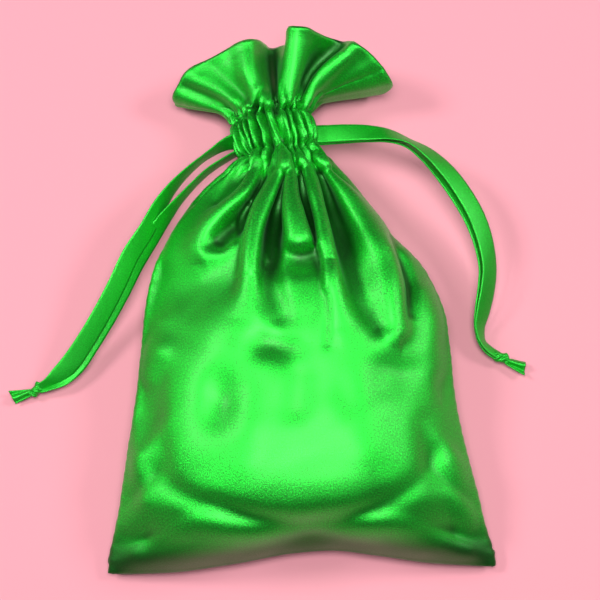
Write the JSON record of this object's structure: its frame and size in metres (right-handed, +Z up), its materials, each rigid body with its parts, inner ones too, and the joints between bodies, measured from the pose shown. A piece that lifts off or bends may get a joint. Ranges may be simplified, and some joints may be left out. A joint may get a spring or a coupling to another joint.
{
  "type": "drawstring gift sack",
  "caption": "Puffed satin gift sack lying on its back, sewn up both sides, with a gathered neck, a flared frill and two knotted ribbon drawstrings.",
  "frame": {"origin": "on the surface the sack lies on, under the middle of the sack without its free ribbons", "axes": "+Z up out of the front panel, +Y from the bottom fold to the frill, +X to the right as the front is seen with the frill away from the viewer"},
  "size_m": [0.1357, 0.1403, 0.03],
  "materials": {
    "satin": "satin weave with a metallic sheen",
    "ribbon_satin": "single-face satin ribbon",
    "sewing_thread": "matt spun thread"
  },
  "bodies": {
    "sack_back": {"back_panel": "satin", "left_side_seam": "satin", "right_side_seam": "satin", "left_seam_thread": "sewing_thread", "right_seam_thread": "sewing_thread", "back_casing": "satin", "back_facing": "satin", "back_frill": "satin", "back_casing_stitch_lower": "sewing_thread", "back_casing_stitch_upper": "sewing_thread", "back_left_ribbon_run": "ribbon_satin", "back_right_ribbon_run": "ribbon_satin"},
    "sack_front": {"front_panel": "satin", "front_casing": "satin", "front_facing": "satin", "front_frill": "satin", "front_casing_stitch_lower": "sewing_thread", "front_casing_stitch_upper": "sewing_thread", "front_left_ribbon_run": "ribbon_satin", "front_right_ribbon_run": "ribbon_satin"},
    "left_drawstring": {"left_ribbon_front_strand": "ribbon_satin", "left_ribbon_back_strand": "ribbon_satin", "left_knot": "ribbon_satin", "left_knot_ends": "ribbon_satin"},
    "right_drawstring": {"right_ribbon_front_strand": "ribbon_satin", "right_ribbon_back_strand": "ribbon_satin", "right_knot": "ribbon_satin", "right_knot_ends": "ribbon_satin"}
  },
  "joints": [
    {"name": "mouth_open", "type": "hinge", "parent": "sack_back", "child": "sack_front", "pos_m": [0, -0.071, 0.0006], "axis": [1, 0, 0], "range_deg": [0, 6]},
    {"name": "left_drawstring_slide", "type": "slide", "parent": "sack_back", "child": "left_drawstring", "axis": [0.5, 0.866, 0], "range_m": [0, 0.0061]},
    {"name": "right_drawstring_slide", "type": "slide", "parent": "sack_back", "child": "right_drawstring", "axis": [-1, 0, 0], "range_m": [0, 0.0061]}
  ],
  "couplings": [
    {"joint": "left_drawstring_slide", "follows": "mouth_open", "m_per_rad": 0.0573},
    {"joint": "right_drawstring_slide", "follows": "mouth_open", "m_per_rad": 0.0573}
  ]
}
